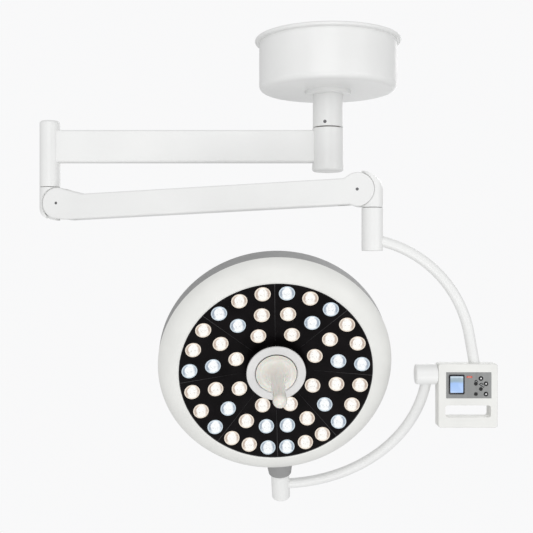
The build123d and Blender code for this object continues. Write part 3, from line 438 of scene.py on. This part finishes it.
def screen_glow():
    """Backlit display: pale blue with a greyer upper third and a soft wavy boundary."""
    shader = Shader("display_screen", (0.02, 0.03, 0.05), 0.12, Coat_Weight=0.5)
    height = shader.axis_of(shader.nodes.new("ShaderNodeTexCoord").outputs["Generated"], "Z")
    wave = shader.times_plus(shader.noise(70, 2), 0.16, height)
    stops = [
        (0.0, (0.48, 0.66, 0.98)),
        (0.62, (0.38, 0.58, 0.96)),
        (0.78, (0.33, 0.44, 0.5)),
        (0.98, (0.4, 0.5, 0.56)),
        (1.0, (0.62, 0.72, 0.8)),
    ]
    shader.glow(shader.ramp(wave, stops), 0.92)
    return shader.material


WHITE = (0.83, 0.832, 0.824)
WHITE_PAINT = powder_coat("white_powder_coat", WHITE)
WHITE_SHELL = moulded("white_shell_moulding", (0.79, 0.79, 0.765), 0.45, Coat_Weight=0.08)
GREY_BAND = moulded("grey_band_moulding", (0.30, 0.30, 0.30), 0.5, 900, 0.03)
HUB_GREY = moulded("hub_ring_moulding", (0.70, 0.695, 0.69), 0.4)
STEEL = machined("turned_steel", (0.56, 0.56, 0.57), 0.32, (1, 1, 12))
DARK_STEEL = machined("blackened_screw", (0.2, 0.2, 0.205), 0.42, (1, 8, 1), 0.7)
BRONZE = machined("bearing_bronze", (0.55, 0.38, 0.18), 0.35, (1, 1, 10))
ALUMINIUM = machined("cast_aluminium", (0.62, 0.63, 0.64), 0.42, (3, 1, 1))
BLACK_PANEL = glossy_panel()
CIRCUIT = circuit()
KEYPAD = brushed_membrane()
SEAM_STRIP = moulded("seam_strip", (0.042, 0.040, 0.042), 0.5, 900, 0.02, Specular_IOR_Level=0.3)
BLACK_KEY = moulded("black_key_cap", (0.008, 0.008, 0.009), 0.3, 1800, 0.015)
BLACK_TRIM = moulded("black_screen_trim", (0.006, 0.007, 0.012), 0.2, 1500, 0.01)
PRINT_WHITE = moulded("white_print", (0.8, 0.8, 0.8), 0.4, 2400, 0.006)
RED_LAMP = moulded("red_indicator", (0.62, 0.06, 0.035), 0.3, 1800, 0.01)
RED_CORE = lit("pale_indicator_core", (0.86, 0.5, 0.42), 0.9)
SCREEN = screen_glow()
HANDLE_CLEAR = clear(
    "milky_handle_moulding", (0.80, 0.775, 0.715), 0.2, 0.0, 1.46,
    Subsurface_Weight=0.2, Subsurface_Scale=0.006, Coat_Weight=0.8, Coat_Roughness=0.06,
)
DRIVER_CASE = machined("folded_driver_case", (0.6, 0.6, 0.61), 0.4, (1, 10, 1))
GASKET = moulded("dark_gasket", (0.03, 0.03, 0.032), 0.6, 900, 0.03)
SEAL = moulded("pale_dust_seal", (0.8, 0.8, 0.79), 0.6, 900, 0.03)
LENS_GLASS = clear("lens_dome_clear", (1.0, 1.0, 1.0), 0.02, 1.0, 1.3, Specular_IOR_Level=0.6)

CAD_FINISH = {
    "white_paint": WHITE_PAINT,
    "white_shell": WHITE_SHELL,
    "grey_trim": GREY_BAND,
    "hub_grey": HUB_GREY,
    "steel": STEEL,
    "dark_steel": DARK_STEEL,
    "bronze": BRONZE,
    "aluminium": ALUMINIUM,
    "black_panel": BLACK_PANEL,
    "circuit_board": CIRCUIT,
    "keypad_grey": KEYPAD,
    "display_blue": BLACK_TRIM,
    "black_key": BLACK_KEY,
    "clear_handle": HANDLE_CLEAR,
    "driver_case": DRIVER_CASE,
    "warm_lens": LENS_GLASS,
    "cool_lens": LENS_GLASS,
}


def finish_cad_nodes():
    """Gives each carried-over CAD node its finish, by the slot that the record names."""
    slots = {part["node"]: part["material_slot"] for part in frame["record"]["subparts"]}
    for name, node in NODES.items():
        node.data.materials.clear()
        node.data.materials.append(CAD_FINISH[slots[name]])


# ---------------------------------------------------------------- lamp head
def lens_rim():
    """Outline of a lens's rim, (radius, height), with a slim flange on the panel."""
    return [
        (LENS_R, -SKIRT),
        (LENS_R, 0.1 * MM),
        (LENS_R + RIM_FLANGE, 0.1 * MM),
        (LENS_R + RIM_FLANGE - 0.1 * MM, 0.5 * MM),
        (LENS_R - RIM_ROUND, RIM_TOP),
        (RIM_IN, RIM_TOP - 0.1 * MM),
        (RIM_IN - 0.2 * MM, RIM_TOP - 0.8 * MM),
    ]


def lens_cup():
    """Outline of the fluted wall between the rim and the core."""
    return [
        (RIM_IN - 0.2 * MM, RIM_TOP - 0.8 * MM),
        (12.9 * MM, -1.4 * MM),
        (11.3 * MM, -3.2 * MM),
        (CUP_R, CUP_Z),
    ]


def lens_core():
    """Outline of the lit core, a low mound in the cup."""
    return [
        (CUP_R, CUP_Z),
        (6.8 * MM, CUP_Z + 1.5 * MM),
        (3.4 * MM, CUP_Z + 2.5 * MM),
        (0, CUP_Z + 2.9 * MM),
    ]


def lens_dome(steps=6):
    """Outline of the clear dome, part of a sphere."""
    radius = RIM_IN - DOME_INSET
    ball = (radius**2 + DOME_H**2) / (2 * DOME_H)
    reach = asin(radius / ball)
    leans = [reach * (1 - i / steps) for i in range(steps + 1)]
    return [(ball * sin(lean), DOME_LOW + DOME_H - ball + ball * cos(lean)) for lean in leans]


def lens_frames(node):
    """A frame for each lens of a CAD node: Z points out of the dished panel."""
    frames = []
    for points in solids_of(node):
        centre = HEAD_INV @ (sum(points, Vector()) / len(points))
        radial = Vector((centre.x, 0, centre.z)).normalized()
        outward = Vector((0, -cos(DISH), 0)) - radial * sin(DISH)
        skirt_back = min((HEAD_INV @ point).dot(outward) for point in points)
        on_axis = centre + outward * (skirt_back + SKIRT_BEHIND - centre.dot(outward))
        frames.append(HEAD @ facing(on_axis, outward, radial))
    return frames


def cup_flutes(r, z, turn):
    """Twelve shallow flutes round the cup, all the way down."""
    return r * (1 - 0.03 * (0.5 + 0.5 * cos(12 * turn)))


def lenses(group, rim_color, bright, shade, core_color):
    """Rims, fluted cups, lit cores with two chips each, and clear domes of one colour group."""
    optics = bmesh.new()
    domes = bmesh.new()
    chip = in_metres([(0, 0.25), (0.9, 0.1), (1.25, -0.7)])
    chip_z = CUP_Z + 2.5 * MM - CHIP_SINK
    up_the_panel = HEAD.to_3x3() @ Vector((0, 0, 1))
    for place in lens_frames(f"lenses_{group}"):
        add_turned(optics, lens_rim(), place, RING_STEPS, closed=False)
        add_turned(optics, lens_cup(), place, RING_STEPS, closed=False, shape=cup_flutes, faces_of=1)
        add_turned(optics, lens_core(), place, RING_STEPS, closed=False, faces_of=2)
        upright = facing(place.translation, place.to_3x3() @ Vector((0, 0, 1)), up_the_panel)
        for side in (-1, 1):
            spot = upright @ Matrix.Translation((side * CHIP_SPREAD, -CHIP_DROP, chip_z))
            add_turned(optics, chip, spot, CHIP_STEPS, closed=False, faces_of=3)
        add_turned(domes, lens_dome(), place, DOME_STEPS, closed=False)
    bmesh.ops.remove_doubles(optics, verts=optics.verts, dist=0.002 * MM)

    rim_glow = lit(f"{group}_lens_rim", rim_color, 1.0)
    piece = finish_piece(f"lens_optics_{group}", optics, rim_glow, "lamp_head")
    # the cup walls glow with painted shade at their sides and top, and painted light at their lower edge
    piece.data.materials.append(lens_wall_painted_shade(f"{group}_lens_cup", bright, shade))
    piece.data.materials.append(lit(f"{group}_lens_core", core_color, 1.08, speckle=300))
    piece.data.materials.append(lit(f"{group}_lens_chip", tint(bright, 0.62), 1.0))
    finish_piece(f"lens_domes_{group}", domes, LENS_GLASS, "lamp_head")
    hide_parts(f"lenses_{group}")


def head_turned(name, outline, material, body, steps=128, shape=None):
    """A closed turned piece of the head: outline is (radius, depth) with depth along the head's own Y."""
    bm = bmesh.new()
    flipped = [(r, -y) for r, y in outline]
    add_turned(bm, flipped, HEAD @ Matrix.Rotation(radians(90), 4, "X"), steps, shape=shape)
    return finish_piece(name, bm, material, body)


def grip_flutes(r, z, turn):
    """Six shallow flutes on the grip that fade out at both ends; the bore inside stays round."""
    rise, run_out = (z / MM - 66) / 14, (156 - z / MM) / 16
    amount = max(0.0, min(1.0, rise)) * max(0.0, min(1.0, run_out))
    return r if r < 11.5 * MM else r * (1 - 0.075 * amount * (0.5 + 0.5 * cos(6 * turn)) ** 2)


def sterile_handle():
    """Milky grip like a finger, with shallow flutes, a broad flared base and a thin dished guard."""
    tip = [(0, -178.8), (4.8, -178.1), (9.0, -176.0), (12.1, -172.7), (14.0, -168.6), (14.6, -164.0)]
    shaft = [(14.6, -158), (14.4, -150), (14.5, -140), (14.9, -120), (15.5, -100), (17.0, -80), (19.0, -68)]
    flare = [(21.6, -59), (25, -52.4), (28.6, -48.6), (32.4, -47.3), (36.6, -48.4), (41.2, -50.6)]
    guard_edge = [(42.6, -50.9), (43.2, -50.2), (43.0, -49.2)]
    guard_back = [(36, -45.2), (29, -42.6), (20, -40.2), (11, -38.4)]
    bore = [(10.8, -123.8), (0, -124)]
    outline = in_metres(tip + shaft + flare + guard_edge + guard_back + bore)
    piece = head_turned("handle_grip", outline, HANDLE_CLEAR, "handle", 96, grip_flutes)
    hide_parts("sterile_handle")


def seam_angles():
    """Where two neighbouring lens panels meet, in degrees from local +X towards +Z."""
    return [FIRST_SEAM] + [FIRST_SEAM + NARROW + WIDE * i for i in range(7)]


def panel_depth(radius):
    """Depth of the dished lens panel's face at a radius, along local Y."""
    return PANEL_FRONT + (PANEL_R - radius) * tan(DISH)


def add_strip(bm, angle):
    """Adds a backing strip that closes the seam at an angle, just under the panel's face."""
    turn = radians(angle)
    along, across = Vector((cos(turn), 0, sin(turn))), Vector((-sin(turn), 0, cos(turn)))
    rings = []
    for radius in (SEAM_FROM, SEAM_TO):
        half = radius * sin(radians(0.25)) + 0.15 * MM
        ring = []
        for side, sink in ((-1, 0.7), (0, 0.45), (1, 0.7), (1, 2.6), (-1, 2.6)):
            point = along * radius + across * side * half
            point.y = panel_depth(radius) + sink * MM
            ring.append(bm.verts.new(HEAD @ point))
        rings.append(ring)
    add_skin(bm, rings)


def panel_gasket():
    """Thin dark ring between bezel and lens panel."""
    outline = [(203.7, -48.4), (204.5, -49.0), (205.05, -49.2), (205.05, -47.2), (203.7, -47.0)]
    head_turned("panel_gasket", in_metres(outline), GASKET, "lamp_head")


def seam_strips():
    strips = bmesh.new()
    for angle in seam_angles():
        add_strip(strips, angle)
    finish_piece("seam_strips", strips, SEAM_STRIP, "lamp_head")


def rear_cover_screws():
    """Button heads with round sockets, evenly spaced round the rear cover."""
    outline = in_metres([(0, 0.1), (1.5, 0.1), (1.7, 1.1), (3.0, 1.0), (3.9, 0.4), (4.1, -1.6), (0, -1.6)])
    screws = bmesh.new()
    for i in range(COVER_SCREWS):
        turn = radians(360 * (i + 0.5) / COVER_SCREWS)
        spot = Vector((COVER_SCREW_R * cos(turn), COVER_SCREW_Y, COVER_SCREW_R * sin(turn)))
        add_turned(screws, outline, HEAD @ facing(spot, (0, 1, 0)), 24, closed=False)
    finish_piece("rear_cover_screws", screws, STEEL, "lamp_head")


# ---------------------------------------------------------------- arm joints
def add_seal(bm, place, start, end, inner, outer, face):
    """Adds a strip round part of a pivot: radii and faces in millimetres, angles in degrees."""
    low, high = sorted((face * SEAL_OUT, face * SEAL_IN))
    section = in_metres([(inner, low), (outer, low), (outer, high), (inner, high)])
    rings = []
    for x, z in arc((0, 0), 1, start, end, 40):
        rings.append([bm.verts.new(place @ Vector((x * r, y, z * r))) for r, y in section])
    add_skin(bm, rings)


def dust_seals():
    """Pale strips that close most of the running gap between the arm's cheeks and each knuckle."""
    for joint, body, start, end, outer in (
        ("arm_pitch", "elbow", 100, 219, CHEEK_R + 1.25),
        ("wrist_level", "wrist", -72, 74, CHEEK_R + 0.6),
    ):
        depth = -Vector(JOINTS[joint]["axis"]).normalized()
        along = depth.cross(Vector((0, 0, 1)))
        place = Matrix((along, depth, Vector((0, 0, 1)))).transposed().to_4x4()
        place.translation = Vector(JOINTS[joint]["pos_m"])
        seals = bmesh.new()
        for face in (-1, 1):
            add_seal(seals, place, start, end, CHEEK_R + SEAL_GAP, outer, face)
        finish_piece(f"{body}_dust_seals", seals, SEAL, body)


# ---------------------------------------------------------------- control box
def panel_spot(from_left, from_top, proud=0.0):
    """A frame on the display panel's face, from its left and top edges, facing the operator."""
    low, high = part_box("display_panel")
    point = Vector((low.x + from_left * MM, low.y - proud * MM, high.z - from_top * MM))
    return facing(point, (0, -1, 0))


def box_middle(node):
    low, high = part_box(node)
    return (low + high) / 2


def key_spot(key, front):
    """A frame over a key's middle that faces the operator, at the depth `front` in the frame's Y."""
    middle = box_middle(f"button_{key}")
    return facing(Vector((middle.x, front, middle.z)), (0, -1, 0))


def display():
    """Screen with a dark rounded trim and a pale lit edge, over the CAD display module."""
    low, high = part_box("display_module")
    width, height = high.x - low.x, high.z - low.z
    middle = Vector(((low.x + high.x) / 2, low.y, (low.z + high.z) / 2))

    trim = bmesh.new()
    outline = rounded_outline(width + TRIM_MARGIN, height + TRIM_MARGIN, TRIM_CORNER, 8)
    place = facing(middle + Vector((0, -TRIM_PROUD, 0)), (0, -1, 0))
    add_plate(trim, outline, TRIM_PROUD, place, 0.5 * MM)
    finish_piece("screen_trim", trim, BLACK_TRIM, "upper_yoke")

    glass = bmesh.new()
    outline = rounded_outline(width - GLASS_LESS[0], height - GLASS_LESS[1], GLASS_CORNER, 6)
    place = facing(middle + Vector((0, -GLASS_PROUD, 0)), (0, -1, 0))
    add_plate(glass, outline, 0.3 * MM, place, 0.1 * MM)
    finish_piece("screen_glass", glass, SCREEN, "upper_yoke")


def key_dots():
    """A pale printed dot on each of three keys."""
    outline = in_metres([(0, 0), (1.1, -0.03), (1.6, -0.2), (1.7, -0.5), (0, -0.5)])
    for key in DOTTED_KEYS:
        low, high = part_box(f"button_{key}")
        dot = bmesh.new()
        add_turned(dot, outline, key_spot(key, low.y - 0.22 * MM), 24, closed=False)
        finish_piece(f"key_dot_{key}", dot, PRINT_WHITE, f"key_{key}")


def direction_marks():
    """Dark collars about the dotted keys, and plain dashes by the others."""
    marks = bmesh.new()
    low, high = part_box("display_panel")
    collar = in_metres([(4.0, 0), (4.15, 0.45), (4.5, 0.55), (4.8, 0.4), (4.95, 0)])
    for key in DOTTED_KEYS:
        add_turned(marks, collar, key_spot(key, low.y), 40)
    for from_left, from_top, width, height, lean in DASHES:
        place = panel_spot(from_left, from_top, 0.12) @ Matrix.Rotation(radians(lean), 4, "Z")
        add_plate(marks, rounded_outline(width * MM, height * MM, 0.5 * MM, 4), 0.2 * MM, place)
    finish_piece("direction_marks", marks, BLACK_TRIM, "upper_yoke")


def status_lamp():
    """A red lens with a paler core."""
    lamp = bmesh.new()
    outline = rounded_outline(12 * MM, 4.2 * MM, 2.0 * MM, 8)
    add_plate(lamp, outline, 0.6 * MM, panel_spot(*STATUS_LAMP, 0.5), 0.4 * MM)
    finish_piece("status_lamp", lamp, RED_LAMP, "upper_yoke")

    core = bmesh.new()
    outline = rounded_outline(8 * MM, 1.5 * MM, 0.7 * MM, 6)
    add_plate(core, outline, 0.3 * MM, panel_spot(*STATUS_LAMP, 0.62), 0.1 * MM)
    finish_piece("status_lamp_core", core, RED_CORE, "upper_yoke")


# ---------------------------------------------------------------- stage, light and camera
def stage():
    """A pale floor under the light that fades into the backdrop."""
    bm = bmesh.new()
    bmesh.ops.create_grid(bm, x_segments=8, y_segments=8, size=FLOOR_SIZE)
    mesh = bpy.data.meshes.new("floor")
    bm.to_mesh(mesh)
    bm.free()
    floor = bpy.data.objects.new("floor", mesh)
    floor.location = FLOOR_AT
    bpy.context.scene.collection.objects.link(floor)
    material = bpy.data.materials.new("pale_floor")
    material.use_nodes = True
    nodes, links = material.node_tree.nodes, material.node_tree.links
    bsdf = nodes["Principled BSDF"]
    bsdf.inputs["Base Color"].default_value = (0.9, 0.9, 0.9, 1)
    bsdf.inputs["Roughness"].default_value = 0.6
    place = nodes.new("ShaderNodeTexCoord").outputs["Object"]
    length = nodes.new("ShaderNodeVectorMath")
    length.operation = "LENGTH"
    links.new(place, length.inputs[0])
    fade = nodes.new("ShaderNodeMapRange")
    fade.interpolation_type = "SMOOTHSTEP"
    fade.inputs["From Min"].default_value = FADE_FROM
    fade.inputs["From Max"].default_value = FADE_TO
    links.new(length.outputs["Value"], fade.inputs["Value"])
    glass = nodes.new("ShaderNodeBsdfTransparent")
    mix = nodes.new("ShaderNodeMixShader")
    links.new(fade.outputs["Result"], mix.inputs["Fac"])
    links.new(bsdf.outputs["BSDF"], mix.inputs[1])
    links.new(glass.outputs["BSDF"], mix.inputs[2])
    links.new(mix.outputs["Shader"], nodes["Material Output"].inputs["Surface"])
    mesh.materials.append(material)


def area_light(name, place, size, power):
    """A round soft light that points at the lamp's middle."""
    data = bpy.data.lights.new(name, "AREA")
    data.shape = "DISK"
    data.size = size
    data.energy = power
    lamp = bpy.data.objects.new(name, data)
    lamp.location = place
    lamp.rotation_euler = (Vector(LIT_AT) - Vector(place)).to_track_quat("-Z", "Y").to_euler()
    bpy.context.scene.collection.objects.link(lamp)


def light():
    """High-key studio light: a pale room, a large key from the upper left, three fills and a back light."""
    world = bpy.data.worlds.new("pale_room")
    bpy.context.scene.world = world
    world.use_nodes = True
    nodes, links = world.node_tree.nodes, world.node_tree.links
    seen = nodes["Background"]
    seen.inputs["Color"].default_value = (0.945, 0.945, 0.95, 1)
    room = nodes.new("ShaderNodeBackground")
    room.inputs["Color"].default_value = (0.62, 0.622, 0.625, 1)
    path = nodes.new("ShaderNodeLightPath")
    mix = nodes.new("ShaderNodeMixShader")
    links.new(path.outputs["Is Camera Ray"], mix.inputs["Fac"])
    links.new(room.outputs["Background"], mix.inputs[1])
    links.new(seen.outputs["Background"], mix.inputs[2])
    links.new(mix.outputs["Shader"], nodes["World Output"].inputs["Surface"])
    for name, values in AREA_LIGHTS.items():
        area_light(name, *values)


def camera():
    """Level view from the operator's side."""
    data = bpy.data.cameras.new("camera")
    data.sensor_width = 36
    data.lens = CAMERA_LENS
    view = bpy.data.objects.new("camera", data)
    view.location = CAMERA_AT
    view.rotation_euler = (radians(90), 0, 0)
    bpy.context.scene.collection.objects.link(view)
    bpy.context.scene.camera = view


bpy.context.scene.view_settings.view_transform = "Standard"
finish_cad_nodes()
for group, colors in LENS_COLORS.items():
    lenses(group, *colors)
sterile_handle()
panel_gasket()
seam_strips()
rear_cover_screws()
dust_seals()
display()
key_dots()
direction_marks()
status_lamp()
stage()
light()
camera()
